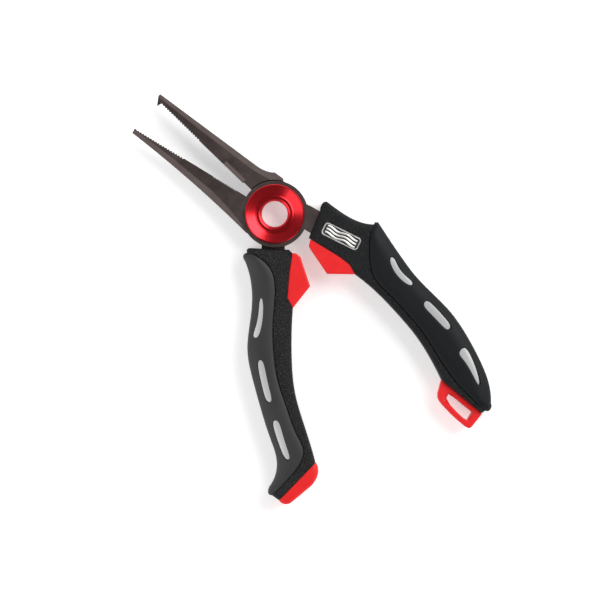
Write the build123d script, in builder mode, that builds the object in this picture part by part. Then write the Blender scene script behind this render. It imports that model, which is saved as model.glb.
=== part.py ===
from build123d import *
from math import cos, hypot, pi
import os

os.makedirs("parts", exist_ok=True)

# Fishing pliers with two offset handles that open by themselves.
# Origin: centre of the hollow pivot, half way through its height.
# +Z leaves the front face, +Y runs along the closed jaws to their tips.
# The straight lever stays in this frame. The hook lever is drawn closed and
# turned about +Z by the opening angle, which is how the pliers rest.

# ---- Driving sizes, in millimetres and degrees ----
opening_angle = 12.5        # between the jaw faces at rest
jaw_length = 59.0           # pivot centre to the tips
handle_length = 105.0       # pivot centre to the far end of the handles
lever_half = 4.0            # half the thickness of the levers at the jaws' roots
tip_half = 1.7              # half the thickness of the jaws at their tips
tip_width = 1.9
taper_start = 15.0          # how far up the jaws stay full thickness

bore_radius = 4.65          # hole through the pivot
barrel_radius = 7.5         # shaft that the hook lever turns on
thread_radius = 6.0
flange_width = 3.13         # dished ring beyond the shaft
ring_proud = 0.9            # ring above the lever's face
counterbore_depth = 1.6
dish_depth = 1.3
dish_lip_width = 2.25       # rounded lip around the bore
dish_lip_height = 0.35
hub_rim = 1.3               # steel left around the ring
lap_gap = 0.3               # between the two lever plates
washer_width = 1.2
bearing_thickness = 0.3
stop_pin_radius = 0.8
stop_pin_depth = 1.2        # how far the pin stands into each plate

tooth_pitch = 1.07
tooth_depth = 0.5
toothed_from = 37.8         # pivot centre to the end of the toothed part of each jaw
hook_half = 0.5             # half the thickness of the split-ring tooth
hook_reach = 1.45           # how far the tooth passes the closed jaw line
hook_height = 2.4
cutter_start = 16.0
cutter_length = 9.9
cutter_width = 1.5          # ground relief on the hooked jaw, which the knife edge closes on
cutter_drop = 0.9
knife_width = 0.4           # steep grind of the straight jaw's knife edge
knife_land = 0.2            # half the thickness of the edge that it leaves

tang_half = 1.5             # steel strip inside each handle
core_half = 5.2             # hard handle body, each side of the middle
grip_half = 6.2             # soft grip, each side of the middle
grip_wall = 3.2             # soft rubber beside the core's spine
spine_half = 3.8            # core under the soft grip
spine_overlap = 2.0
wedge_half = 4.8            # magnet housings
magnet_radius = 2.9         # magnets, at the drawn handle length
magnet_length = 3.0
magnet_skin = 1.0           # plastic in front of a magnet
cap_half = 5.0              # red end cap
loop_half = 3.6             # lanyard loop
tongue_half = 1.8           # tongues of the loop and the cap, in the cores
tongue_depth = 4.5
badge_size = (14.6, 5.0)
badge_height = 0.4
badge_depth = 0.3           # recess for the badge

# ---- Clearances ----
running_fit = 0.04          # shaft in the hook lever's hole, on the radius
flange_fit = 0.07           # ring in its counterbore, on the radius
thread_fit = 0.02
axial_play = 0.05
hub_gap = 0.35              # round shoulder beside the other lever's disc
jaw_gap = 0.1               # between the closed jaws
relief_gap = 0.5            # between the jaws behind the cutter
hook_gap = 0.3              # split-ring tooth in the other jaw's notch
stop_gap = 0.04
pocket_gap = 0.05           # steel, tongues and magnets in their plastic pockets

# ---- Sizes that follow ----
flange_radius = barrel_radius + flange_width
hub_radius = flange_radius + flange_fit + hub_rim
shoulder_radius = hub_radius + hub_gap
lap_half = lap_gap / 2
floor_height = lever_half - counterbore_depth
ring_height = lever_half + ring_proud
thread_start = floor_height - 1.6
thread_end = floor_height + 0.8
stop_radius = flange_radius - stop_pin_radius
drawn_length = 105.0        # handle length that the outlines below are drawn at
plan_scale = handle_length / drawn_length
disc_radius = magnet_radius * plan_scale
disc_length = magnet_length * plan_scale
disc_skin = magnet_skin * plan_scale

straight = Plane.XY
hook = Plane.XY.rotated((0, 0, -opening_angle))

# ---- Handle outlines, drawn with the pliers closed ----
right_shoulder = [(9.5, -13.3), (11.6, -12.6), (13.0, -12.9), (13.5, -14.3)]
right_back = [(13.5, -14.3), (13.0, -21.0), (13.7, -28.2), (15.4, -32.3)]
right_outer = [(16.9, -33.3), (14.0, -39.4), (10.1, -48.1), (7.6, -54.5), (5.6, -62.0), (2.9, -72.6),
               (-0.8, -81.0), (-5.7, -89.5), (-11.0, -96.7), (-17.5, -101.9)]
right_heel = [(-17.5, -101.9), (-19.4, -102.8), (-20.4, -102.4), (-20.7, -101.4)]
right_crease = [(15.4, -32.3), (11.8, -33.3), (7.6, -35.4), (3.2, -38.4), (-0.6, -42.2), (-2.6, -48.0),
                (-4.3, -55.1), (-6.4, -62.0), (-9.2, -69.4), (-13.2, -77.5), (-15.9, -83.4),
                (-18.0, -89.0), (-19.3, -94.6), (-20.4, -99.0), (-20.7, -101.4)]
right_inner = [(-19.5, -82.2), (-14.2, -73.4), (-10.4, -65.2), (-7.8, -57.3), (-5.5, -49.0),
               (-3.4, -35.9)]
right_end = (-22.1, -100.8)
right_seat = [(-0.9, -15.7), (-0.9, -28.0), (-1.4, -32.6), (-3.4, -35.9)]
right_wedge = [(-3.9, -17.2), (-8.5, -27.3)]
right_neck = [(0.9, -8.0), (8.8, -6.0), (9.2, -10.0), (9.4, -18.0), (0.9, -18.0)]
right_tang = [(0.9, -14.8), (9.3, -14.8), (9.4, -18.0), (9.0, -29.0), (3.6, -39.0), (1.0, -44.0),
              (-0.2, -51.0), (-2.6, -60.0), (-5.6, -69.0), (-8.4, -69.6), (-5.6, -60.0), (-3.4, -51.0),
              (-2.6, -44.0), (-1.2, -37.0), (0.8, -29.0)]
slot_bluntness = 6          # a higher number squares the ends of the slots
right_slots = [             # start, middle and end of the centreline, half width, how it narrows
    ((8.8, -44.0), (5.4, -49.1), (4.4, -55.5), 1.12, 0.0),
    ((1.2, -62.5), (-0.4, -69.0), (-2.3, -75.3), 1.45, -0.06),
    ((-6.5, -82.5), (-9.0, -88.1), (-14.0, -94.9), 1.38, -0.45),
]
badge_place = (5.6, -24.6)
badge_slant = 95.0

left_top = [(-5.7, -12.6), (-15.1, -2.0)]
left_corner = [(-15.1, -2.0), (-16.1, -1.7), (-16.9, -2.5)]
left_brow = [(-16.9, -2.5), (-18.3, -2.1), (-19.6, -4.0)]
left_outer = [(-19.6, -4.0), (-21.8, -8.3), (-28.3, -16.0), (-35.1, -21.3), (-42.0, -26.9), (-48.1, -35.3),
              (-53.9, -45.1), (-59.0, -54.6), (-63.4, -62.2), (-67.3, -65.3), (-71.9, -66.7)]
left_heel = [(-71.9, -66.7), (-73.9, -68.6), (-73.3, -69.7)]
left_crease = [(-16.9, -2.5), (-15.2, -7.5), (-15.6, -13.4), (-18.9, -18.3), (-28.1, -26.2), (-36.6, -34.8),
               (-43.0, -43.4), (-47.4, -51.9), (-51.4, -60.2), (-54.6, -67.0), (-59.4, -68.9),
               (-73.3, -69.7)]
left_inner = [(-54.1, -72.6), (-46.9, -59.7), (-40.8, -49.4), (-33.2, -40.6), (-26.0, -33.6), (-19.8, -28.2)]
left_seat = [(-5.7, -14.3), (-12.0, -18.8), (-18.6, -24.2), (-19.8, -28.2)]
left_wedge = [(-4.7, -17.4), (-9.8, -27.2)]
left_neck = [(-2.6, -7.6), (-8.1, -1.4), (-14.0, -6.8), (-8.4, -13.1)]
left_tang = [(-7.3, -12.1), (-12.9, -5.8), (-14.2, -12.5), (-17.3, -18.2), (-25.6, -25.8), (-33.2, -33.3),
             (-39.6, -41.6), (-43.4, -48.0), (-41.2, -48.4), (-37.7, -43.8), (-30.4, -36.2),
             (-22.8, -29.2), (-20.3, -24.6), (-13.6, -18.2)]
left_slots = [
    ((-25.2, -17.5), (-31.2, -22.7), (-37.0, -25.7), 0.92, 0.22),
    ((-41.4, -32.7), (-46.0, -39.2), (-50.0, -45.8), 1.2, 0.0),
    ((-53.2, -51.6), (-57.0, -58.2), (-60.3, -65.0), 1.22, -0.1),
]
cap_line = [(-54.1, -72.6), (-72.9, -72.6)]
cap_front = [(-54.1, -72.6), (-54.9, -74.7), (-56.3, -76.0), (-58.3, -76.9), (-61.0, -77.3)]
cap_back = [(-70.3, -76.3), (-71.9, -75.6), (-72.8, -74.4), (-72.9, -72.6)]
loop_back = [(-24.2, -83.6), (-26.0, -84.9), (-27.3, -88.0), (-28.6, -93.2), (-29.4, -98.2)]
loop_end = [(-29.4, -98.2), (-29.2, -99.8), (-28.4, -100.3), (-22.6, -101.0)]
loop_slot = [(-22.6, -87.2), (-22.7, -90.0), (-23.2, -93.2), (-23.8, -97.6), (-27.0, -97.7), (-27.1, -96.3),
             (-26.4, -92.8), (-25.5, -89.6), (-24.1, -87.3)]


# ---- Drawing helpers ----
def plan(points):
    """Handle outline points at the chosen handle length."""
    return [(x * plan_scale, y * plan_scale) for x, y in points]


def inset(points, distance):
    """An open run of points moved sideways, to the right of its direction."""
    moved = []
    for i, (x, y) in enumerate(points):
        x0, y0 = points[max(i - 1, 0)]
        x1, y1 = points[min(i + 1, len(points) - 1)]
        run = hypot(x1 - x0, y1 - y0)
        moved.append((x + (y1 - y0) / run * distance, y - (x1 - x0) / run * distance))
    return moved


def layer(base, low, high, outline, mode=Mode.ADD, grow=0.0):
    """Add or cut what an outline covers between two heights."""
    with BuildSketch(base.offset(low)) as area:
        with BuildLine():
            outline()
        make_face()
        if grow:
            offset(amount=grow, kind=Kind.INTERSECTION)
    extrude(area.sketch, amount=high - low, mode=mode)


def disc(base, low, high, radius, mode=Mode.ADD):
    """Add or cut a disc around the pivot between two heights."""
    with BuildSketch(base.offset(low)) as area:
        Circle(radius)
    extrude(area.sketch, amount=high - low, mode=mode)


def across(base, y):
    """Plane across a lever at a distance from the pivot, up being +Z."""
    return Plane(origin=base.from_local_coords((0, y, 0)), x_dir=base.x_dir, z_dir=-base.y_dir)


def jaw_half(y):
    """Half the thickness of a jaw at a distance from the pivot."""
    along = max(y - taper_start, 0) / (jaw_length - taper_start)
    return lever_half + (tip_half - lever_half) * along


def thin_to_tip(base):
    """Taper the thickness of a jaw from its root to its tip."""
    side = Plane(origin=base.origin, x_dir=base.y_dir, z_dir=base.x_dir)
    with BuildSketch(side) as profile:
        with BuildLine():
            Polyline((-1, lever_half), (taper_start, lever_half), (jaw_length + 1, tip_half),
                     (jaw_length + 1, -tip_half), (taper_start, -lever_half), (-1, -lever_half),
                     close=True)
        make_face()
    extrude(profile.sketch, amount=hub_radius * 2, both=True, mode=Mode.INTERSECT)


def bevel_spine(base, side, stations):
    """Slope the front and back edges of a jaw's spine; stations hold a spine point, width and drop."""
    for face in (1, -1):
        sections = []
        for number, (point, width, drop) in enumerate(stations):
            edge = abs(point.X)
            y = point.Y + (0 if number else 1)
            top = jaw_half(y)
            with BuildSketch(across(base, y)) as section:
                with BuildLine():
                    Polyline((side * (edge - 2 * width), face * (top + drop)),
                             (side * (edge + width), face * (top - 2 * drop)),
                             (side * (edge + width), face * (top + drop)), close=True)
                make_face()
            sections.append(section.sketch)
        loft(sections, ruled=True, mode=Mode.SUBTRACT)


def cut_teeth(base, side, face_x, first):
    """V grooves across a jaw's gripping face, from the first one down."""
    count = int((first - toothed_from) / tooth_pitch) + 1
    for i in range(count):
        y = first - i * tooth_pitch
        outline = [(face_x - side * tooth_depth, y + tooth_pitch), (face_x + side * tooth_depth, y),
                   (face_x - side * tooth_depth, y - tooth_pitch)]
        layer(base, -lever_half, lever_half, lambda: Polyline(*outline, close=True), Mode.SUBTRACT)


def grind_cutter(base, side, face_x, width, land=None):
    """Grind both faces of a jaw down beside its cutting face, to a drop or to the land that is left."""
    for face in (1, -1):
        sections = []
        for y in (cutter_start, cutter_start + cutter_length):
            top = jaw_half(y)
            drop = top - land if land else cutter_drop
            with BuildSketch(across(base, y)) as section:
                with BuildLine():
                    Polyline((face_x - side * width, face * (top - 2 * drop)),
                             (face_x + side * width, face * top),
                             (face_x + side * width, face * (top + 1)),
                             (face_x - side * width, face * (top + 1)), close=True)
                make_face()
            sections.append(section.sketch)
        loft(sections, ruled=True, mode=Mode.SUBTRACT)


# ---- Outlines ----
straight_spine = ThreePointArc((-tip_width, jaw_length), (-6.1, jaw_length / 2), (-hub_radius * 0.93, 5))
hook_spine = Line((tip_width + 0.55, jaw_length + 0.6), (7.9, 17.1))
hook_heel = Spline(hook_spine @ 1, (8.9, 13.2), (10.8, 10.4), tangents=[hook_spine % 1, (0.75, -0.65)])
hook_corner = (1.5, jaw_length + 0.7)


def straight_jaw_outline():
    add(straight_spine)
    Polyline(straight_spine @ 1, (-4, 2), (0, 4), (0, jaw_length), straight_spine @ 0)


def hook_jaw_outline():
    add(hook_spine)
    add(hook_heel)
    Polyline(hook_heel @ 1, (11.3, 6.8), (10.3, 5.2), (5, 2), (relief_gap, 5), (relief_gap, cutter_start),
             (jaw_gap, cutter_start), (jaw_gap, jaw_length - 1), hook_corner, hook_spine @ 0)


def hook_tooth_outline():
    root = jaw_length - hook_height + 0.5
    Polyline((jaw_gap + 0.5, root - 0.3), (jaw_gap, root), (-hook_reach, root + 0.4),
             hook_corner, (hook_corner[0], root), close=True)


def hook_notch_outline():
    root = jaw_length - hook_height + 0.5 - hook_gap
    Polyline((1, root - hook_gap), (0, root - hook_gap), (-hook_reach - hook_gap, root),
             (-hook_reach - hook_gap, jaw_length + 1), (1, jaw_length + 1), close=True)


def right_core_outline():
    Polyline(*plan([right_seat[0], (-0.9, -14.9), right_shoulder[0]]))
    Spline(*plan(right_shoulder))
    Spline(*plan(right_back))
    Spline(*plan(right_crease))
    Polyline(*plan([right_crease[-1], right_end, right_inner[0]]))
    Spline(*plan(right_inner))
    Polyline(*plan(right_seat))


def right_grip_outline():
    Spline(*plan(right_crease))
    Polyline(*plan([right_crease[0], (16.4, -32.3), right_outer[0]]))
    Spline(*plan(right_outer))
    Spline(*plan(right_heel))


def left_core_outline():
    Polyline(*plan([left_seat[0], left_top[0], left_top[1]]))
    Spline(*plan(left_corner))
    Spline(*plan(left_crease))
    Polyline(*plan([left_crease[-1], cap_line[1], cap_line[0]]))
    Spline(*plan(left_inner))
    Polyline(*plan(left_seat))


def left_grip_outline():
    Spline(*plan(left_crease))
    Spline(*plan(left_brow))
    Spline(*plan(left_outer))
    Spline(*plan(left_heel))


def spine_outline(outer, crease, side):
    """The core's tongue under the soft grip."""
    rim = inset(plan(outer), side * grip_wall)[1:-1]
    root = inset(plan(crease), side * spine_overlap)[2:]
    Spline(*rim)
    Spline(*root)
    Line(rim[0], root[0])
    Line(rim[-1], root[-1])


def right_spine_outline():
    spine_outline(right_outer, right_crease[:-4], 1)


def left_spine_outline():
    spine_outline(left_outer, left_crease[:-1], -1)


def cap_outline():
    Spline(*plan(cap_front))
    Line(*plan([cap_front[-1], cap_back[0]]))
    Spline(*plan(cap_back))
    Line(*plan(cap_line))


def loop_outline():
    Polyline(*plan([loop_back[0], right_inner[0], right_end, loop_end[-1]]))
    Spline(*plan(loop_back))
    Polyline(*plan(loop_end))


def outline_of(points):
    """A closed outline with straight sides, at the chosen handle length."""
    return lambda: Polyline(*plan(points), close=True)


def slot_points(start, middle, end, half_width, lean):
    """Points around a slot with a bowed centreline and blunt round ends; a lean below 0 narrows its end."""
    bend = (2 * middle[0] - (start[0] + end[0]) / 2, 2 * middle[1] - (start[1] + end[1]) / 2)
    left, right = [], []
    for step in range(13):
        t = (1 - cos(pi * step / 12)) / 2
        x = (1 - t) ** 2 * start[0] + 2 * t * (1 - t) * bend[0] + t ** 2 * end[0]
        y = (1 - t) ** 2 * start[1] + 2 * t * (1 - t) * bend[1] + t ** 2 * end[1]
        dx = (1 - t) * (bend[0] - start[0]) + t * (end[0] - bend[0])
        dy = (1 - t) * (bend[1] - start[1]) + t * (end[1] - bend[1])
        reach = half_width * max(1 - abs(2 * t - 1) ** slot_bluntness, 0) ** 0.5 * (1 + lean * (2 * t - 1))
        reach = reach / hypot(dx, dy)
        left.append((x - dy * reach, y + dx * reach))
        right.append((x + dy * reach, y - dx * reach))
    return left + right[-2:0:-1]


def cut_slots(base, slots):
    """The three long openings through a handle."""
    for slot in slots:
        points = plan(slot_points(*slot))
        layer(base, -grip_half, grip_half, lambda: Spline(*points, periodic=True), Mode.SUBTRACT)


def tongue_of(start, end, depth):
    """A tongue across the middle half of a seat line, reaching into the handle on its left."""
    (x0, y0), (x1, y1) = start, end
    run = hypot(x1 - x0, y1 - y0)
    ux, uy = (x1 - x0) / run, (y1 - y0) / run
    near = (x0 + ux * run / 4, y0 + uy * run / 4)
    far = (x1 - ux * run / 4, y1 - uy * run / 4)
    return outline_of([(near[0] + uy, near[1] - ux), (far[0] + uy, far[1] - ux),
                       (far[0] - uy * depth, far[1] + ux * depth),
                       (near[0] - uy * depth, near[1] + ux * depth)])


def magnet_plane(base, face):
    """Plane on the middle of a housing's face, its normal to the right of the pliers."""
    (x0, y0), (x1, y1) = plan(face)
    run = hypot(x1 - x0, y1 - y0)
    middle = base.from_local_coords(((x0 + x1) / 2, (y0 + y1) / 2, 0))
    beside = base.from_local_coords(((x0 + x1) / 2 + (y0 - y1) / run, (y0 + y1) / 2 + (x1 - x0) / run, 0))
    return Plane(origin=middle, x_dir=(0, 0, 1), z_dir=beside - middle)


right_tongue = tongue_of(right_inner[0], right_end, tongue_depth)
left_tongue = tongue_of(cap_line[1], cap_line[0], tongue_depth)


# ---- Straight lever: front plate, jaw, neck and the strip inside the right handle ----
with BuildPart() as straight_lever:
    layer(straight, -lever_half, lever_half, straight_jaw_outline)
    thin_to_tip(straight)
    bevel_spine(straight, -1, [(straight_spine @ 0, 1.5, 0.9),
                               (straight_spine @ 0.31, 2.0, 1.5),
                               (straight_spine @ 0.66, 2.5, 1.9),
                               (straight_spine @ 0.86, 1.7, 1.4),
                               (straight_spine @ 0.95, 1.0, 1.0)])
    cut_teeth(straight, -1, 0, jaw_length - tooth_pitch)
    layer(straight, -hook_half - hook_gap, hook_half + hook_gap, hook_notch_outline, Mode.SUBTRACT)
    grind_cutter(straight, -1, 0, knife_width, knife_land)
    disc(straight, -lever_half - 1, lap_half, shoulder_radius, Mode.SUBTRACT)
    disc(straight, lap_half, lever_half, hub_radius)
    layer(straight, lap_half, lever_half, outline_of(right_neck))
    layer(straight, -tang_half, tang_half, outline_of(right_tang))
    disc(straight, -tang_half, lever_half, barrel_radius + thread_fit, Mode.SUBTRACT)
    disc(straight, floor_height, lever_half, flange_radius + flange_fit, Mode.SUBTRACT)
    with BuildSketch(straight.offset(lap_half)):
        with Locations((0, stop_radius)):
            Circle(stop_pin_radius + thread_fit)
    extrude(amount=stop_pin_depth, mode=Mode.SUBTRACT)
straight_lever.part.label = "straight_lever"
export_step(straight_lever.part, "parts/straight_lever.step")


# ---- Hook lever: back plate, hooked jaw, neck and the strip inside the left handle ----
stop_path = CenterArc((0, 0), stop_radius, 89, opening_angle + 1)

with BuildPart() as hook_lever:
    layer(hook, -lever_half, lever_half, hook_jaw_outline)
    thin_to_tip(hook)
    bevel_spine(hook, 1, [(hook_spine @ 0, 1.2, 0.8),
                          (hook_spine @ 0.5, 1.8, 1.4),
                          (hook_spine @ 1, 2.0, 1.7),
                          (hook_heel @ 1, 3.2, 2.6),
                          (Vector(11.4, 6.4), 3.2, 2.6)])
    cut_teeth(hook, 1, jaw_gap, jaw_length - hook_height)
    layer(hook, -hook_half, hook_half, hook_tooth_outline)
    grind_cutter(hook, 1, jaw_gap, cutter_width)
    disc(hook, -lap_half, lever_half + 1, shoulder_radius, Mode.SUBTRACT)
    disc(hook, -lever_half, -lap_half, hub_radius)
    layer(hook, -lever_half, -lap_half, outline_of(left_neck))
    layer(hook, -tang_half, tang_half, outline_of(left_tang))
    disc(hook, -lap_half, lever_half, shoulder_radius, Mode.SUBTRACT)
    disc(hook, -lever_half, 0, barrel_radius + running_fit, Mode.SUBTRACT)
    disc(hook, -lever_half, -floor_height, flange_radius + flange_fit, Mode.SUBTRACT)
    with BuildSketch(hook.offset(-lap_half - stop_pin_depth - axial_play)):
        SlotArc(stop_path, 2 * (stop_pin_radius + stop_gap))
    extrude(amount=stop_pin_depth + axial_play, mode=Mode.SUBTRACT)
hook_lever.part.label = "hook_lever"
export_step(hook_lever.part, "parts/hook_lever.step")


# ---- Pivot ----
rim_radius = flange_radius - 0.45
lip_radius = bore_radius + dish_lip_width
dish_height = ring_height - dish_depth
lip_height = dish_height + dish_lip_height
bearing_height = floor_height + axial_play + bearing_thickness


def dished_face(side):
    """Rim, cone, lip and rounded mouth of the bore, on the front or the back."""
    Polyline((flange_radius, side * (ring_height - 0.25)), (flange_radius - 0.25, side * ring_height),
             (rim_radius, side * ring_height), (lip_radius, side * dish_height),
             (lip_radius, side * (lip_height - 0.15)))
    ThreePointArc((lip_radius, side * (lip_height - 0.15)), (bore_radius + 1.0, side * lip_height),
                  (bore_radius, side * (lip_height - 0.6)))


with BuildPart() as pivot_barrel:
    with BuildSketch(Plane.XZ):
        with BuildLine():
            dished_face(-1)
            Polyline((bore_radius, 0.6 - lip_height), (bore_radius, thread_end), (thread_radius, thread_end),
                     (thread_radius, thread_start), (barrel_radius, thread_start),
                     (barrel_radius, -bearing_height), (flange_radius, -bearing_height),
                     (flange_radius, 0.25 - ring_height))
        make_face()
    revolve(axis=Axis.Z)
pivot_barrel.part.label = "pivot_barrel"
export_step(pivot_barrel.part, "parts/pivot_barrel.step")

with BuildPart() as pivot_ring:
    with BuildSketch(Plane.XZ):
        with BuildLine():
            dished_face(1)
            Polyline((bore_radius, lip_height - 0.6), (bore_radius, thread_end),
                     (thread_radius + thread_fit, thread_end), (thread_radius + thread_fit, thread_start),
                     (barrel_radius, thread_start), (barrel_radius, floor_height),
                     (flange_radius, floor_height), (flange_radius, ring_height - 0.25))
        make_face()
    revolve(axis=Axis.Z)
pivot_ring.part.label = "pivot_ring"
export_step(pivot_ring.part, "parts/pivot_ring.step")

with BuildPart() as lap_washer:
    with BuildSketch(straight.offset(-lap_half + axial_play)):
        Circle(barrel_radius + pocket_gap + washer_width)
        Circle(barrel_radius + pocket_gap, mode=Mode.SUBTRACT)
    extrude(amount=lap_gap - axial_play)
lap_washer.part.label = "lap_washer"
export_step(lap_washer.part, "parts/lap_washer.step")

with BuildPart() as bearing_washer:
    with BuildSketch(straight.offset(-bearing_height)):
        Circle(flange_radius - 0.4)
        Circle(barrel_radius + pocket_gap, mode=Mode.SUBTRACT)
    extrude(amount=bearing_thickness)
bearing_washer.part.label = "bearing_washer"
export_step(bearing_washer.part, "parts/bearing_washer.step")

with BuildPart() as stop_pin:
    with BuildSketch(straight.offset(-lap_half - stop_pin_depth)):
        with Locations((0, stop_radius)):
            Circle(stop_pin_radius)
    extrude(amount=lap_gap + 2 * stop_pin_depth)
stop_pin.part.label = "stop_pin"
export_step(stop_pin.part, "parts/stop_pin.step")


# ---- Handles ----
def core(base, low, high, outline, spine, neck, neck_side, tang, slots, tongue):
    """One moulded half of a hard handle body, around the steel strip."""
    spine_low, spine_high = max(low, -spine_half), min(high, spine_half)
    layer(base, low, high, outline)
    layer(base, spine_low, spine_high, spine)
    layer(base, min(0, neck_side * lever_half), max(0, neck_side * lever_half), outline_of(neck),
          Mode.SUBTRACT, pocket_gap)
    layer(base, -tang_half, tang_half, outline_of(tang), Mode.SUBTRACT, pocket_gap)
    layer(base, -tongue_half, tongue_half, tongue, Mode.SUBTRACT, pocket_gap)
    disc(base, -core_half, core_half, shoulder_radius, Mode.SUBTRACT)
    cut_slots(base, slots)


with BuildPart() as right_core_front:
    core(straight, 0, core_half, right_core_outline, right_spine_outline, right_neck, 1, right_tang,
         right_slots, right_tongue)
    with BuildSketch(straight.offset(core_half - badge_depth)):
        with Locations(Location((*plan([badge_place])[0], 0), badge_slant)):
            RectangleRounded(*badge_size, 1.2)
            offset(amount=pocket_gap)
    extrude(amount=badge_depth, mode=Mode.SUBTRACT)
right_core_front.part.label = "right_core_front"
export_step(right_core_front.part, "parts/right_core_front.step")

with BuildPart() as right_core_back:
    core(straight, -core_half, 0, right_core_outline, right_spine_outline, right_neck, 1, right_tang,
         right_slots, right_tongue)
right_core_back.part.label = "right_core_back"
export_step(right_core_back.part, "parts/right_core_back.step")

with BuildPart() as left_core_front:
    core(hook, 0, core_half, left_core_outline, left_spine_outline, left_neck, -1, left_tang,
         left_slots, left_tongue)
left_core_front.part.label = "left_core_front"
export_step(left_core_front.part, "parts/left_core_front.step")

with BuildPart() as left_core_back:
    core(hook, -core_half, 0, left_core_outline, left_spine_outline, left_neck, -1, left_tang,
         left_slots, left_tongue)
left_core_back.part.label = "left_core_back"
export_step(left_core_back.part, "parts/left_core_back.step")


def grip(base, outline, spine, slots, tongue):
    """Soft grip wrapped round the core's spine."""
    layer(base, -grip_half, grip_half, outline)
    layer(base, -spine_half, spine_half, spine, Mode.SUBTRACT)
    layer(base, -tongue_half, tongue_half, tongue, Mode.SUBTRACT, pocket_gap)
    cut_slots(base, slots)


with BuildPart() as right_grip:
    grip(straight, right_grip_outline, right_spine_outline, right_slots, right_tongue)
right_grip.part.label = "right_grip"
export_step(right_grip.part, "parts/right_grip.step")

with BuildPart() as left_grip:
    grip(hook, left_grip_outline, left_spine_outline, left_slots, left_tongue)
left_grip.part.label = "left_grip"
export_step(left_grip.part, "parts/left_grip.step")

with BuildPart() as badge:
    with BuildSketch(straight.offset(core_half - badge_depth)):
        with Locations(Location((*plan([badge_place])[0], 0), badge_slant)):
            RectangleRounded(*badge_size, 1.2)
    extrude(amount=badge_height)
badge.part.label = "badge"
export_step(badge.part, "parts/badge.step")


# ---- Magnets that push the handles apart ----
def housing(base, outline, face, inward):
    """Moulded wedge with a pocket that opens towards the handle."""
    layer(base, -wedge_half, wedge_half, outline)
    with BuildSketch(magnet_plane(base, face).offset(inward * disc_skin)) as pocket:
        Circle(disc_radius + pocket_gap)
    extrude(pocket.sketch, amount=inward * 20, mode=Mode.SUBTRACT)


def magnet(base, face, inward):
    """Disc magnet, just behind the housing's face."""
    with BuildSketch(magnet_plane(base, face).offset(inward * disc_skin)) as end:
        Circle(disc_radius)
    extrude(end.sketch, amount=inward * disc_length)


with BuildPart() as right_magnet_housing:
    housing(straight, outline_of([right_seat[0], (-3.3, -16.4), *right_wedge, *reversed(right_seat[1:])]),
            right_wedge, 1)
right_magnet_housing.part.label = "right_magnet_housing"
export_step(right_magnet_housing.part, "parts/right_magnet_housing.step")

with BuildPart() as left_magnet_housing:
    housing(hook, outline_of([left_seat[0], (-4.8, -15.4), *left_wedge, *reversed(left_seat[1:])]),
            left_wedge, -1)
left_magnet_housing.part.label = "left_magnet_housing"
export_step(left_magnet_housing.part, "parts/left_magnet_housing.step")

with BuildPart() as right_magnet:
    magnet(straight, right_wedge, 1)
right_magnet.part.label = "right_magnet"
export_step(right_magnet.part, "parts/right_magnet.step")

with BuildPart() as left_magnet:
    magnet(hook, left_wedge, -1)
left_magnet.part.label = "left_magnet"
export_step(left_magnet.part, "parts/left_magnet.step")


# ---- Handle ends ----
with BuildPart() as lanyard_loop:
    layer(straight, -loop_half, loop_half, loop_outline)
    layer(straight, -loop_half, loop_half, outline_of(loop_slot), Mode.SUBTRACT)
    layer(straight, -tongue_half, tongue_half, right_tongue)
lanyard_loop.part.label = "lanyard_loop"
export_step(lanyard_loop.part, "parts/lanyard_loop.step")

with BuildPart() as end_cap:
    layer(hook, -cap_half, cap_half, cap_outline)
    layer(hook, -tongue_half, tongue_half, left_tongue)
end_cap.part.label = "end_cap"
export_step(end_cap.part, "parts/end_cap.step")
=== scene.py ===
import math

import bmesh
import bpy
import numpy as np
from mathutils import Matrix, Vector
from mathutils.geometry import delaunay_2d_cdt


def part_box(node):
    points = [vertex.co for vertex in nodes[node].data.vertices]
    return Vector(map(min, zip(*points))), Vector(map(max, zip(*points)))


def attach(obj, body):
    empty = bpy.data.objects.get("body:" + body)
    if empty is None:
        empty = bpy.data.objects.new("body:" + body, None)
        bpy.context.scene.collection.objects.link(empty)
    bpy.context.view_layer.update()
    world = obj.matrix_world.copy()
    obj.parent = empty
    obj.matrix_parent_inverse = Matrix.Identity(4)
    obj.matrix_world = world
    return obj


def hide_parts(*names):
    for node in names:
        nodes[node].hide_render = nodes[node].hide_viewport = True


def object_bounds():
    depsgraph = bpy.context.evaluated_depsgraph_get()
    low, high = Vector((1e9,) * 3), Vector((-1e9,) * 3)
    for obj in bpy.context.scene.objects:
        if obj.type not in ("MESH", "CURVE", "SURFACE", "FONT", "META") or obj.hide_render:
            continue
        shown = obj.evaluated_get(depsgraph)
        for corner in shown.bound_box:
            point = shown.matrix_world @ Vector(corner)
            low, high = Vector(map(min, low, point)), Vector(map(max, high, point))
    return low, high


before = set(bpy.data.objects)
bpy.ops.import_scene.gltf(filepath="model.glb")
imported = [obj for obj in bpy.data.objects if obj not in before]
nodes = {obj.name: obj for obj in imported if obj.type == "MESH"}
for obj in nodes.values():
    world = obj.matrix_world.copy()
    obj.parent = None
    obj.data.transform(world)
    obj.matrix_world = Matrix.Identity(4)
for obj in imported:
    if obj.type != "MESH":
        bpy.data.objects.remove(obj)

MM = 0.001
STRAIGHT = "straight_lever_body"
HOOK = "hook_lever_body"
ON_EDGE = 1e-7              # closer to an outline than this is on it, in metres
FLAT_SLIVER = 1e-10         # twice the area of a triangle that is only a line, in square metres
SEAT_REACH = 0.12 * MM      # a side this near a neighbour's outline rests on it
SHARP_ANGLE = math.radians(38)
cad_low, cad_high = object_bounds()


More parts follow.
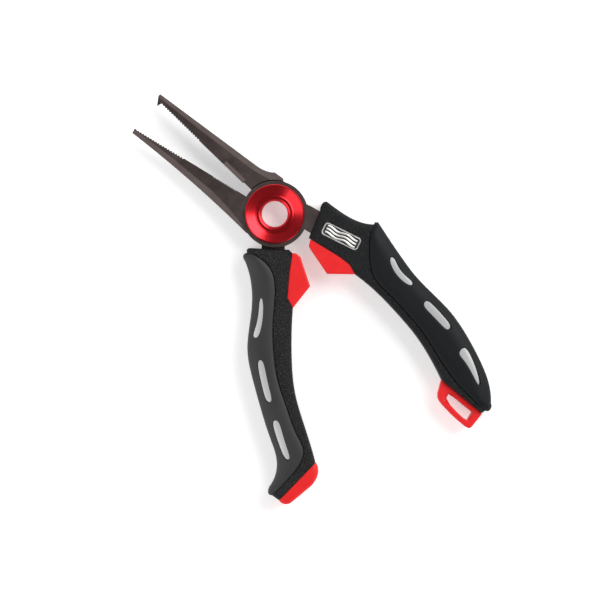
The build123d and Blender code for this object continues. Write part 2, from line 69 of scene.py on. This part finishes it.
# ---- Camera: straight above, turned so that the jaws point up and to the left ----
def place_camera(middle=(-21.6 * MM, -23.9 * MM), height=1.3, turn=-58.5, lens=216.6):
    """Looks straight down at the middle of the open pliers."""
    data = bpy.data.cameras.new("camera")
    data.lens = lens
    data.sensor_width = 36.0
    data.clip_start = 0.01
    data.clip_end = 10.0
    camera = bpy.data.objects.new("camera", data)
    bpy.context.scene.collection.objects.link(camera)
    camera.location = (*middle, height)
    camera.rotation_euler = (0, 0, math.radians(turn))
    bpy.context.scene.camera = camera


# ---- Outlines of the moulded parts, read from the frame ----
def face_loops(node, level):
    """Boundary loops of a node's flat faces at a height, in metres, longest first."""
    mesh = nodes[node].data
    sides, places = {}, {}
    for face in mesh.polygons:
        corners = [mesh.vertices[i].co for i in face.vertices]
        if any(abs(c.z - level) > 0.02 * MM for c in corners):
            continue
        keys = [(round(c.x, 6), round(c.y, 6)) for c in corners]
        for a, b, c in zip(keys, keys[1:] + keys[:1], corners):
            places[a] = (c.x, c.y)
            sides[(a, b)] = None
    after = {a: b for a, b in sides if (b, a) not in sides}
    loops = []
    while after:
        start, here = next(iter(after.items()))
        del after[start]
        loop = [start]
        while here != start and here in after:
            loop.append(here)
            here = after.pop(here)
        if len(loop) > 2:
            loops.append(np.array([places[k] for k in loop]))
    loops.sort(key=lambda loop: -np.linalg.norm(np.diff(loop, axis=0), axis=1).sum())
    return loops


def even_loop(loop, step):
    """The same loop with no side longer than a step, and its tight steps thinned."""
    points = []
    for a, b in zip(loop, np.roll(loop, -1, axis=0)):
        parts = max(1, math.ceil(np.linalg.norm(b - a) / step))
        points += [a + (b - a) * i / parts for i in range(parts)]
    kept = [points[0]]
    for i in range(1, len(points)):
        before = points[i] - kept[-1]
        ahead = points[(i + 1) % len(points)] - points[i]
        turn = abs(before[0] * ahead[1] - before[1] * ahead[0])
        turn /= np.linalg.norm(before) * np.linalg.norm(ahead) + 1e-12
        if np.linalg.norm(before) > 0.45 * step or turn > 0.3:
            kept.append(points[i])
    return np.array(kept)


def distance_to(points, lines):
    """Distance from each point to the nearest of some line pieces, (n, 2, 2)."""
    best = np.full(len(points), 1e9)
    if len(lines) == 0:
        return best
    for a, b in lines:
        along = b - a
        t = np.clip(((points - a) @ along) / max(along @ along, 1e-18), 0, 1)
        best = np.minimum(best, np.linalg.norm(points - (a + t[:, None] * along), axis=1))
    return best


def inside(points, loops):
    """Which points lie inside the outer loop and outside its holes."""
    hits = np.zeros(len(points), int)
    x, y = points[:, 0], points[:, 1]
    for loop in loops:
        for a, b in zip(loop, np.roll(loop, -1, axis=0)):
            crosses = (a[1] > y) != (b[1] > y)
            if not crosses.any():
                continue
            at = (b[0] - a[0]) * (y - a[1]) / (b[1] - a[1] if b[1] != a[1] else 1e-12) + a[0]
            hits += (crosses & (x < at)).astype(int)
    return hits % 2 == 1


def sides_of(loops):
    """Every side of some loops, as (n, 2, 2)."""
    return np.concatenate([np.stack([loop, np.roll(loop, -1, axis=0)], axis=1) for loop in loops])


def touching(sides, neighbours):
    """The sides that lie on a neighbour's outline, and the free ones."""
    others = np.concatenate([sides_of(face_loops(node, level)) for node, level in neighbours])
    near = distance_to(sides.mean(axis=1), others) < SEAT_REACH
    return sides[near], sides[~near]


# ---- Moulded parts: a flat outline with rounded edges, front and back ----
def rounding(points, edges):
    """How far the surface falls below its level, from (sides, reach, fall) rules in millimetres."""
    total = np.zeros(len(points))
    for sides, reach, fall in edges:
        short = np.clip(1 - distance_to(points, sides) / (reach * MM), 0, 1)
        total += (fall * MM * (1 - np.sqrt(1 - short ** 2))) ** 2
    return np.sqrt(total)


def fill_points(loops, rings, grid):
    """Points that follow the edges in rings, then an even field, inside the outline."""
    sides = sides_of(loops)
    found = []
    for number, ring in enumerate(rings):
        for loop in loops:
            ahead = np.roll(loop, -1, axis=0) - np.roll(loop, 1, axis=0)
            normal = np.stack([-ahead[:, 1], ahead[:, 0]], axis=1)
            normal /= np.linalg.norm(normal, axis=1)[:, None] + 1e-12
            moved = loop + normal * ring
            moved = moved[:: 1 + number // 4]
            keep = (distance_to(moved, sides) > 0.93 * ring) & inside(moved, loops)
            found.append(moved[keep])
    low, high = loops[0].min(axis=0), loops[0].max(axis=0)
    rows = np.arange(low[1], high[1], grid * 0.87)
    field = []
    for number, y in enumerate(rows):
        xs = np.arange(low[0] + (number % 2) * grid / 2, high[0], grid)
        field.append(np.stack([xs, np.full(len(xs), y)], axis=1))
    field = np.concatenate(field)
    clear = (distance_to(field, sides) > rings[-1] + 0.4 * grid) & inside(field, loops)
    return np.concatenate(found + [field[clear]])


def mould(name, node, level, floor, top_edges, bottom_edges, step=0.5, grid=1.0,
          rings=(0.06, 0.16, 0.32, 0.55, 0.9, 1.4, 2.1, 3.0)):
    """A moulded solid over a node's outline; step, grid and rings are in millimetres."""
    loops = face_loops(node, level if level > 0 else floor)
    if level <= 0:
        loops = [loop[::-1] for loop in loops]      # a back face's loops run the other way
    loops = [even_loop(loop, step * MM) for loop in loops]
    rings = [ring * MM for ring in rings]
    extra = fill_points(loops, rings, grid * MM)
    points = np.concatenate(loops + [extra])
    links, first = [], 0
    for loop in loops:
        links += [(first + i, first + (i + 1) % len(loop)) for i in range(len(loop))]
        first += len(loop)
    per_mm = 1000.0             # the triangulation works in millimetres
    flat, _, faces, _, _, _ = delaunay_2d_cdt([Vector(p * per_mm) for p in points], links, [], 0, 1e-5)
    flat = np.array([(p.x, p.y) for p in flat]) / per_mm
    centres = np.array([flat[list(face)].mean(axis=0) for face in faces])
    faces = [face for face, kept in zip(faces, inside(centres, loops)) if kept]
    on_outline = distance_to(flat, sides_of(loops)) < ON_EDGE
    faces = [face for face in faces
             if spread_of(flat, face) > FLAT_SLIVER or not all(on_outline[i] for i in face)]

    count = len(flat)
    top = level - rounding(flat, top_edges(loops))
    bottom = floor + rounding(flat, bottom_edges(loops))
    sides = {(a, b): None for face in faces for a, b in zip(face, face[1:] + face[:1])}
    rim = [(a, b) for a, b in sides if (b, a) not in sides]

    corners = [(*place, z) for heights in (top, bottom) for place, z in zip(flat, heights)]
    shell = [tuple(face) for face in faces] + [tuple(i + count for i in face[::-1]) for face in faces]
    middle = {}
    for a, _ in rim:
        middle[a] = len(corners)
        corners.append((*flat[a], (top[a] + bottom[a]) / 2))
    for a, b in rim:
        shell.append((b, a, middle[a], middle[b]))
        shell.append((middle[b], middle[a], a + count, b + count))
    return new_piece(name, corners, shell)


def spread_of(flat, face):
    """Twice a triangle's area, above 0 when its corners run anticlockwise."""
    a, b, c = (flat[i] for i in face)
    return (b[0] - a[0]) * (c[1] - a[1]) - (b[1] - a[1]) * (c[0] - a[0])


def new_piece(name, corners, faces):
    """A smooth-shaded mesh object with sharp edges kept."""
    mesh = bpy.data.meshes.new(name)
    mesh.from_pydata(corners, [], faces)
    mesh.validate()
    shape = bmesh.new()
    shape.from_mesh(mesh)
    loose = [v for v in shape.verts if not v.link_faces]
    bmesh.ops.delete(shape, geom=loose, context="VERTS")
    shape.to_mesh(mesh)
    shape.free()
    mesh.shade_smooth()
    mesh.set_sharp_from_angle(angle=SHARP_ANGLE)
    piece = bpy.data.objects.new(name, mesh)
    bpy.context.scene.collection.objects.link(piece)
    return piece


def stand_for(piece, node, body, finish):
    """Puts a piece in a node's place, on its body, with its finish."""
    piece.data.materials.append(finish)
    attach(piece, body)
    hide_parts(node)


# ---- Shader groups shared by several finishes ----
def new_group(name, inputs, outputs):
    """A node group with named value inputs and outputs; returns it with its two end nodes."""
    group = bpy.data.node_groups.new(name, "ShaderNodeTree")
    for label, value in inputs.items():
        socket = group.interface.new_socket(label, in_out="INPUT", socket_type="NodeSocketFloat")
        socket.default_value = value
    for label, kind in outputs.items():
        group.interface.new_socket(label, in_out="OUTPUT", socket_type=kind)
    return group, group.nodes.new("NodeGroupInput"), group.nodes.new("NodeGroupOutput")


def math_node(tree, operation, a, b=None, clamp=False):
    """A Math node on sockets or plain numbers; returns its output."""
    node = tree.nodes.new("ShaderNodeMath")
    node.operation = operation
    node.use_clamp = clamp
    for socket, value in zip(node.inputs, (a, b)):
        if value is None:
            continue
        if isinstance(value, (int, float)):
            socket.default_value = value
        else:
            tree.links.new(value, socket)
    return node.outputs[0]


def noise(tree, scale, detail=3.0, roughness=0.5, vector=None):
    """A Noise texture in the object's own space; scale is a number or a socket, per metre."""
    node = tree.nodes.new("ShaderNodeTexNoise")
    node.inputs["Detail"].default_value = detail
    node.inputs["Roughness"].default_value = roughness
    if isinstance(scale, (int, float)):
        node.inputs["Scale"].default_value = scale
    else:
        tree.links.new(scale, node.inputs["Scale"])
    tree.links.new(vector or tree.nodes.new("ShaderNodeTexCoord").outputs["Object"], node.inputs["Vector"])
    return node.outputs["Fac"]


def make_hide_grain():
    """Moulded leather grain: pebbles, creases between them, and a fine tooth on top; its second output is
    painted shade that darkens the creases.
    """
    tree, given, result = new_group("hide_grain", {"Pebbles": 1500.0, "Tooth": 5200.0},
                                    {"Height": "NodeSocketFloat", "CreaseShade": "NodeSocketFloat"})
    place = tree.nodes.new("ShaderNodeTexCoord").outputs["Object"]
    cells = tree.nodes.new("ShaderNodeTexVoronoi")
    cells.feature = "DISTANCE_TO_EDGE"
    tree.links.new(given.outputs["Pebbles"], cells.inputs["Scale"])
    bend = tree.nodes.new("ShaderNodeVectorMath")
    bend.operation = "MULTIPLY_ADD"
    wander = tree.nodes.new("ShaderNodeTexNoise")
    wander.inputs["Scale"].default_value = 900.0
    tree.links.new(place, wander.inputs["Vector"])
    tree.links.new(wander.outputs["Color"], bend.inputs[0])
    bend.inputs[1].default_value = (0.0005, 0.0005, 0.0005)
    tree.links.new(place, bend.inputs[2])
    tree.links.new(bend.outputs[0], cells.inputs["Vector"])
    crease = math_node(tree, "SMOOTH_MIN", cells.outputs["Distance"], 0.28)
    crease.node.inputs[2].default_value = 0.1
    fine = noise(tree, given.outputs["Tooth"], 2.0, 0.6)
    patch = noise(tree, 160.0, 2.0)
    raised = math_node(tree, "MULTIPLY", crease, math_node(tree, "ADD", patch, 0.55))
    tree.links.new(math_node(tree, "ADD", raised, math_node(tree, "MULTIPLY", fine, 0.10)),
                   result.inputs["Height"])
    tree.links.new(math_node(tree, "SUBTRACT", 1.0, math_node(tree, "MULTIPLY", crease, 3.6), clamp=True),
                   result.inputs["CreaseShade"])
    return tree


def make_handling():
    """Slow changes of gloss where fingers have been, with fine specks."""
    tree, given, result = new_group("handling", {"Low": 0.4, "High": 0.6, "Patch": 90.0, "Speck": 2600.0},
                                    {"Roughness": "NodeSocketFloat", "Patches": "NodeSocketFloat"})
    broad = noise(tree, given.outputs["Patch"], 3.0, 0.55)
    speck = noise(tree, given.outputs["Speck"], 1.0)
    mixed = math_node(tree, "ADD", math_node(tree, "MULTIPLY", broad, 0.8),
                      math_node(tree, "MULTIPLY", speck, 0.2))
    spread = tree.nodes.new("ShaderNodeMapRange")
    spread.inputs["From Min"].default_value = 0.35
    spread.inputs["From Max"].default_value = 0.65
    tree.links.new(mixed, spread.inputs["Value"])
    tree.links.new(given.outputs["Low"], spread.inputs["To Min"])
    tree.links.new(given.outputs["High"], spread.inputs["To Max"])
    tree.links.new(spread.outputs["Result"], result.inputs["Roughness"])
    tree.links.new(mixed, result.inputs["Patches"])
    return tree


def make_lathe_lines():
    """Fine rings about the pivot, as a lathe tool leaves them."""
    tree, given, result = new_group("lathe_lines", {"Lines": 9000.0}, {"Height": "NodeSocketFloat"})
    place = tree.nodes.new("ShaderNodeTexCoord").outputs["Object"]
    flat = tree.nodes.new("ShaderNodeVectorMath")
    flat.operation = "MULTIPLY"
    flat.inputs[1].default_value = (1, 1, 0)
    tree.links.new(place, flat.inputs[0])
    length = tree.nodes.new("ShaderNodeVectorMath")
    length.operation = "LENGTH"
    tree.links.new(flat.outputs[0], length.inputs[0])
    away = tree.nodes.new("ShaderNodeCombineXYZ")
    tree.links.new(length.outputs["Value"], away.inputs[0])
    lines = noise(tree, given.outputs["Lines"], 2.0, 0.6, away.outputs[0])
    tree.links.new(lines, result.inputs["Height"])
    return tree


def make_ground_steel():
    """Grinding marks drawn out along the jaws, and the blotches of a dark coating."""
    tree, given, result = new_group("ground_steel", {"Across": 5200.0},
                                    {"Height": "NodeSocketFloat", "Coating": "NodeSocketFloat"})
    place = tree.nodes.new("ShaderNodeTexCoord").outputs["Object"]
    squeeze = tree.nodes.new("ShaderNodeVectorMath")
    squeeze.operation = "MULTIPLY"
    squeeze.inputs[1].default_value = (0.06, 1.0, 0.06)
    tree.links.new(place, squeeze.inputs[0])
    marks = noise(tree, given.outputs["Across"], 3.0, 0.65, squeeze.outputs[0])
    tree.links.new(marks, result.inputs["Height"])
    tree.links.new(noise(tree, 240.0, 4.0, 0.6), result.inputs["Coating"])
    return tree


# ---- Finishes ----
def new_finish(name, **sockets):
    """A material with its shader's plain values set; returns the material, its tree and its shader."""
    finish = bpy.data.materials.new(name)
    finish.use_nodes = True
    tree = finish.node_tree
    shader = tree.nodes["Principled BSDF"]
    for label, value in sockets.items():
        shader.inputs[label.replace("_", " ")].default_value = value
    return finish, tree, shader


def use_group(tree, group, **values):
    """Places a group in a material with its own values."""
    node = tree.nodes.new("ShaderNodeGroup")
    node.node_tree = group
    for label, value in values.items():
        node.inputs[label].default_value = value
    return node


def add_bump(tree, shader, height, depth):
    """Feeds a height to the shader's normal; a height of 1 stands for a depth in millimetres."""
    bump = tree.nodes.new("ShaderNodeBump")
    bump.inputs["Strength"].default_value = 1.0
    bump.inputs["Distance"].default_value = depth * MM
    tree.links.new(height, bump.inputs["Height"])
    tree.links.new(bump.outputs["Normal"], shader.inputs["Normal"])


def add_gloss(tree, shader, **values):
    """Feeds the handled gloss to the shader's roughness; returns its patches."""
    gloss = use_group(tree, handling, **values)
    tree.links.new(gloss.outputs["Roughness"], shader.inputs["Roughness"])
    return gloss.outputs["Patches"]


def shade_between(tree, shader, factor, dark, light, low=0.3, high=0.7):
    """Base colour that drifts between two shades with a changing factor."""
    ramp = tree.nodes.new("ShaderNodeValToRGB")
    ramp.color_ramp.elements[0].position = low
    ramp.color_ramp.elements[0].color = (*dark, 1)
    ramp.color_ramp.elements[1].position = high
    ramp.color_ramp.elements[1].color = (*light, 1)
    tree.links.new(factor, ramp.inputs["Fac"])
    tree.links.new(ramp.outputs["Color"], shader.inputs["Base Color"])


def make_dark_steel(ground):
    finish, tree, shader = new_finish("dark_steel", Metallic=0.88)
    marks = use_group(tree, ground)
    shade_between(tree, shader, marks.outputs["Coating"], (0.076, 0.058, 0.055), (0.098, 0.077, 0.073))
    add_gloss(tree, shader, Low=0.34, High=0.50, Patch=120.0)
    add_bump(tree, shader, marks.outputs["Height"], 0.006)
    return finish


def make_red_anodised(lathe):
    finish, tree, shader = new_finish("red_anodised", Metallic=1.0, Coat_Weight=0.35, Coat_Roughness=0.2)
    lines = use_group(tree, lathe)
    shade_between(tree, shader, lines.outputs["Height"], (0.50, 0.007, 0.013), (0.61, 0.010, 0.018))
    add_gloss(tree, shader, Low=0.22, High=0.29, Patch=150.0)
    add_bump(tree, shader, lines.outputs["Height"], 0.0025)
    return finish


def make_hard_black(name, raised, crease_shade, sheen, depth, grain):
    finish, tree, shader = new_finish(name, Specular_IOR_Level=sheen)
    hide = use_group(tree, grain, Pebbles=1150.0)
    # The grain's creases take the darker colour: painted shade in the creases.
    shade_between(tree, shader, hide.outputs["CreaseShade"], raised, crease_shade)
    add_gloss(tree, shader, Low=0.42, High=0.58)
    add_bump(tree, shader, hide.outputs["Height"], depth)
    return finish


def make_soft_black(name, dark, light, sheen):
    finish, tree, shader = new_finish(name, Specular_IOR_Level=sheen)
    patches = add_gloss(tree, shader, Low=0.50, High=0.62, Patch=60.0)
    shade_between(tree, shader, patches, dark, light)
    add_bump(tree, shader, noise(tree, 6500.0, 2.0, 0.6), 0.006)
    return finish


def make_red_plastic():
    finish, tree, shader = new_finish("red_plastic", Specular_IOR_Level=0.25)
    patches = add_gloss(tree, shader, Low=0.38, High=0.50, Patch=120.0)
    shade_between(tree, shader, patches, (0.70, 0.0150, 0.0165), (0.78, 0.0175, 0.0195))
    add_bump(tree, shader, noise(tree, 3800.0, 2.0, 0.6), 0.008)
    return finish


def make_plain_metal(name, dark, light, low=0.22, high=0.36):
    finish, tree, shader = new_finish(name, Metallic=1.0)
    patches = add_gloss(tree, shader, Low=low, High=high, Patch=300.0)
    shade_between(tree, shader, patches, dark, light)
    add_bump(tree, shader, noise(tree, 5200.0, 2.0, 0.6), 0.004)
    return finish


def make_enamel():
    finish, tree, shader = new_finish("badge_enamel", Coat_Weight=0.5)
    patches = add_gloss(tree, shader, Low=0.30, High=0.42, Patch=300.0)
    shade_between(tree, shader, patches, (0.010, 0.010, 0.011), (0.018, 0.018, 0.019))
    add_bump(tree, shader, noise(tree, 5200.0, 2.0, 0.6), 0.003)
    return finish


place_camera()
grain, handling = make_hide_grain(), make_handling()
lathe, ground = make_lathe_lines(), make_ground_steel()
dark_steel = make_dark_steel(ground)
red_anodised = make_red_anodised(lathe)
# One hard black plastic in two copies: the right copy is darker and cooler as painted shade, the left copy
# lighter and warmer as painted light.
hard_black = {
    "right": make_hard_black("hard_black_cool_painted_shade", (0.0034, 0.0042, 0.0052), (0.0014, 0.0018, 0.0024),
                             0.24, 0.34, grain),
    "left": make_hard_black("hard_black_warm_painted_light", (0.0088, 0.0079, 0.0084), (0.0028, 0.0024, 0.0028),
                            0.27, 0.60, grain)}
# One soft black rubber in two copies: the right copy is darker and cooler as painted shade, the left copy
# lighter and warmer as painted light.
soft_black = {
    "right": make_soft_black("soft_black_cool_painted_shade", (0.0030, 0.0038, 0.0048), (0.0045, 0.0055, 0.0066), 0.2),
    "left": make_soft_black("soft_black_warm_painted_light", (0.0270, 0.0255, 0.0255), (0.0340, 0.0320, 0.0325), 0.3)}
red_plastic = make_red_plastic()
brass = make_plain_metal("washer_brass", (0.55, 0.38, 0.14), (0.68, 0.50, 0.22))
pin_steel = make_plain_metal("pin_steel", (0.42, 0.42, 0.43), (0.56, 0.56, 0.57))
nickel = make_plain_metal("magnet_nickel", (0.58, 0.57, 0.54), (0.72, 0.71, 0.68), 0.12, 0.22)
badge_silver = make_plain_metal("badge_silver", (0.74, 0.73, 0.70), (0.88, 0.87, 0.84), 0.30, 0.42)
badge_enamel = make_enamel()


# ---- Steel and pivot: the frame's own parts with their finishes, the levers' edges broken ----
def refinish(node, finish):
    """Gives a frame part its finish."""
    part = nodes[node]
    part.data.materials.clear()
    part.data.materials.append(finish)
    return part


def break_edges(node, finish, width):
    """Gives a frame part its finish and softens its sharp edges a little."""
    part = refinish(node, finish)
    weld = part.modifiers.new("weld", "WELD")
    weld.merge_threshold = 0.002 * MM
    bevel = part.modifiers.new("broken_edges", "BEVEL")
    bevel.width = width * MM
    bevel.segments = 2
    bevel.limit_method = "ANGLE"
    bevel.angle_limit = math.radians(20)
    flats = part.modifiers.new("flat_faces", "WEIGHTED_NORMAL")
    flats.weight = 100


for lever in ("straight_lever", "hook_lever"):
    break_edges(lever, dark_steel, 0.12)
for part in ("pivot_barrel", "pivot_ring"):
    refinish(part, red_anodised)
for part in ("lap_washer", "bearing_washer"):
    refinish(part, brass)
for part in ("right_magnet", "left_magnet"):
    refinish(part, nickel)
refinish("stop_pin", pin_steel)


# ---- Handles: each edge rule is (sides, reach, fall), in millimetres ----
def make_grip(side, body):
    """Soft grip: crowned towards its outer side, with a lip along the hard body."""
    node = f"{side}_grip"
    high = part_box(node)[1].z
    core_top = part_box(f"{side}_core_front")[1].z

    def edges(loops):
        outer, slots = sides_of(loops[:1]), sides_of(loops[1:])
        lip, free = touching(outer, [(f"{side}_core_front", core_top)])
        return [(free, 6.0, 3.4), (lip, 3.2, 0.7), (lip, 0.35, 0.25), (slots, 0.6, 0.4)]

    piece = mould(f"{side}_soft_grip", node, high, -high, edges, edges)
    stand_for(piece, node, body, soft_black[side])


def make_core(side, half, body, neighbours):
    """Half of a hard handle body, with rounded free edges and a fine parting line."""
    node = f"{side}_core_{half}"
    low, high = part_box(node)
    level = high.z if half == "front" else low.z

    def outside(loops):
        sides = sides_of(loops[:1])
        lip, rest = touching(sides, [(f"{side}_grip", math.copysign(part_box(f"{side}_grip")[1].z, level))])
        seat, free = touching(rest, neighbours)
        return [(free, 1.8, 1.3), (lip, 0.5, 0.3), (seat, 0.4, 0.25)]

    def parting(loops):
        return [(sides_of(loops[:1]), 0.14, 0.10)]

    if half == "front":
        piece = mould(f"{side}_body_{half}", node, level, 0, outside, parting)
    else:
        piece = mould(f"{side}_body_{half}", node, 0, level, parting, outside)
    stand_for(piece, node, body, hard_black[side])


def make_red_part(name, node, body, neighbours, reach, fall):
    """A red moulded part with rounded free edges and crisp joints; a hole slopes in beside the seat."""
    low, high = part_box(node)

    def edges(loops, slope=0.6):
        seat, free = touching(sides_of(loops[:1]), neighbours)
        rules = [(free, reach, fall), (seat, 0.25, 0.18)]
        if len(loops) > 1:
            hole = sides_of(loops[1:])
            sloped = distance_to(hole.mean(axis=1), seat) < 4.6 * MM
            rules += [(hole[sloped], 1.0, slope), (hole[~sloped], 0.4, 0.3)]
        return rules

    def front_edges(loops):
        return edges(loops, slope=4.2)

    piece = mould(name, node, high.z, low.z, front_edges, edges, step=0.4, grid=0.8)
    stand_for(piece, node, body, red_plastic)


def level_of(node):
    """The front level of a node's flat face."""
    return node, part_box(node)[1].z


for side, body, end in (("right", STRAIGHT, "lanyard_loop"), ("left", HOOK, "end_cap")):
    make_grip(side, body)
    beside = [level_of(f"{side}_magnet_housing"), level_of(end)]
    for half in ("front", "back"):
        make_core(side, half, body, beside)
    make_red_part(f"{side}_wedge", f"{side}_magnet_housing", body, [level_of(f"{side}_core_front")],
                  0.6, 0.45)
make_red_part("lanyard_eye", "lanyard_loop", STRAIGHT,
              [level_of("right_core_front"), level_of("right_grip")], 0.9, 0.6)
make_red_part("heel_cap", "end_cap", HOOK, [level_of("left_core_front"), level_of("left_grip")], 2.0, 1.3)


# ---- Badge ----
def make_badge():
    """Black enamelled plate."""
    low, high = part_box("badge")

    def edges(loops):
        return [(sides_of(loops), 0.18, 0.12)]

    piece = mould("badge_plate", "badge", high.z, low.z, edges, edges, step=0.3, grid=0.5,
                  rings=(0.05, 0.12, 0.22))
    stand_for(piece, "badge", STRAIGHT, badge_enamel)


def badge_frame():
    """The badge's centre, its long and short directions, and the level of its face."""
    low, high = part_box("badge")
    slant = math.radians(95)
    centre = np.array([(low.x + high.x) / 2, (low.y + high.y) / 2])
    along = np.array([math.cos(slant), math.sin(slant)])
    return centre, along, np.array([-along[1], along[0]]), high.z


def raise_line(name, path, closed, width, height):
    """A rounded metal line that stands up from the badge along a path of (u, v) in millimetres."""
    centre, along, up, level = badge_frame()
    track = np.array([centre + (u * along + v * up) * MM for u, v in path])
    ahead = np.roll(track, -1, axis=0) - np.roll(track, 1, axis=0)
    if not closed:
        ahead[0], ahead[-1] = track[1] - track[0], track[-1] - track[-2]
    side = np.stack([-ahead[:, 1], ahead[:, 0]], axis=1) / np.linalg.norm(ahead, axis=1)[:, None]
    profile = [(-0.5, -0.4), (-0.5, 0.55), (-0.36, 0.9), (0, 1.0), (0.36, 0.9), (0.5, 0.55), (0.5, -0.4)]
    corners = [(*(p + n * across * width * MM), level + rise * height * MM)
               for p, n in zip(track, side) for across, rise in profile]
    rows, wide = len(track), len(profile)
    faces = []
    for i in range(rows if closed else rows - 1):
        for j in range(wide):
            a, b = i * wide + j, i * wide + (j + 1) % wide
            c, d = (i + 1) % rows * wide + (j + 1) % wide, (i + 1) % rows * wide + j
            faces.append((a, d, c, b))
    if not closed:
        faces += [tuple(range(wide)), tuple(range((rows - 1) * wide, rows * wide))[::-1]]
    piece = new_piece(name, corners, faces)
    stand_for(piece, "badge", STRAIGHT, badge_silver)


def decorate_badge():
    """Three raised waves inside a raised border."""
    for number, row in enumerate((-1.2, 0.0, 1.2)):
        path = [(u, row + 0.30 * math.sin(u * 0.9)) for u in np.linspace(-6.0, 6.0, 73)]
        raise_line(f"badge_wave_{number + 1}", path, False, 0.62, 0.22)
    border = []
    half_long, half_short, corner_radius = 5.85, 1.05, 1.12
    for right, up, turn in ((1, 1, 0), (-1, 1, 90), (-1, -1, 180), (1, -1, 270)):
        for step in range(0, 91, 15):
            angle = math.radians(turn + step)
            border.append((right * half_long + corner_radius * math.cos(angle),
                           up * half_short + corner_radius * math.sin(angle)))
    raise_line("badge_border", border, True, 0.42, 0.18)


make_badge()
decorate_badge()


# ---- Floor and light ----
def lay_floor():
    """A pale sheet of paper that glows a little, level with the grips' backs."""
    bpy.ops.mesh.primitive_plane_add(size=3.0, location=(0, 0, cad_low.z))
    floor = bpy.context.object
    floor.name = "floor"
    paper, tree, shader = new_finish("light_table", Roughness=0.9, Base_Color=(0.80, 0.80, 0.80, 1),
                                     Emission_Color=(1, 1, 1, 1), Emission_Strength=0.43)
    floor.data.materials.append(paper)


def add_light(name, place, size, power, aim=(-0.02, -0.02, 0)):
    """A rectangular soft light turned towards the pliers."""
    data = bpy.data.lights.new(name, "AREA")
    data.shape = "RECTANGLE"
    data.size, data.size_y = size
    data.energy = power
    light = bpy.data.objects.new(name, data)
    light.location = place
    light.rotation_euler = (Vector(aim) - Vector(place)).to_track_quat("-Z", "Y").to_euler()
    bpy.context.scene.collection.objects.link(light)


def plain_colours():
    """Colours come out as they are lit, with no film look."""
    bpy.context.scene.view_settings.view_transform = "Standard"


def fill_air(overhead, horizon):
    """Even air that is brighter towards the horizon than straight above."""
    world = bpy.data.worlds.new("studio")
    world.use_nodes = True
    tree = world.node_tree
    place = tree.nodes.new("ShaderNodeTexCoord").outputs["Generated"]
    parts = tree.nodes.new("ShaderNodeSeparateXYZ")
    tree.links.new(place, parts.inputs[0])
    ramp = tree.nodes.new("ShaderNodeValToRGB")
    ramp.color_ramp.elements[0].position = 0.05
    ramp.color_ramp.elements[0].color = (horizon, horizon, horizon, 1)
    ramp.color_ramp.elements[1].position = 0.75
    ramp.color_ramp.elements[1].color = (overhead, overhead, overhead, 1)
    tree.links.new(parts.outputs["Z"], ramp.inputs["Fac"])
    tree.links.new(ramp.outputs["Color"], tree.nodes["Background"].inputs["Color"])
    bpy.context.scene.world = world


plain_colours()
lay_floor()
fill_air(0.20, 1.5)
add_light("key", (0.56, -0.26, 0.66), (0.60, 0.60), 6.5)
add_light("side", (-0.52, 0.30, 0.56), (0.6, 0.6), 2.2)
